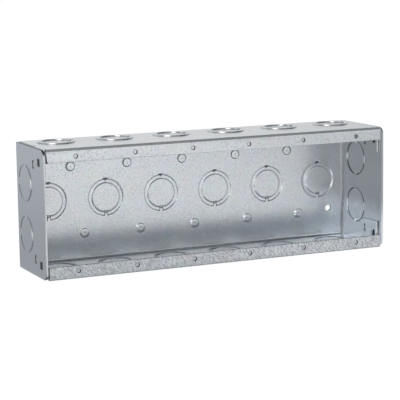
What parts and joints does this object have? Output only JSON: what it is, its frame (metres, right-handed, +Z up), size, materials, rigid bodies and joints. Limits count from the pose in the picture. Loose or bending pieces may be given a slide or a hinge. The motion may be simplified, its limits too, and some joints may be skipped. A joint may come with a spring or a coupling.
{
  "type": "multi-gang box",
  "caption": "Long open-front sheet-steel device box folded from one blank, with screw flanges along the front, lanced lock tabs and half-sheared conduit knockouts on every wall.",
  "frame": {"origin": "centre of the overall box in plan, on the plane that the bottom knockouts rest on", "axes": "+X along the row of gangs, +Y from the open front towards the back wall, +Z up"},
  "size_m": [0.281, 0.0644, 0.0969],
  "materials": {
    "galvanised_steel": "satin spangled zinc coat"
  },
  "bodies": {
    "root": {"gang_box": "galvanised_steel"}
  },
  "joints": []
}
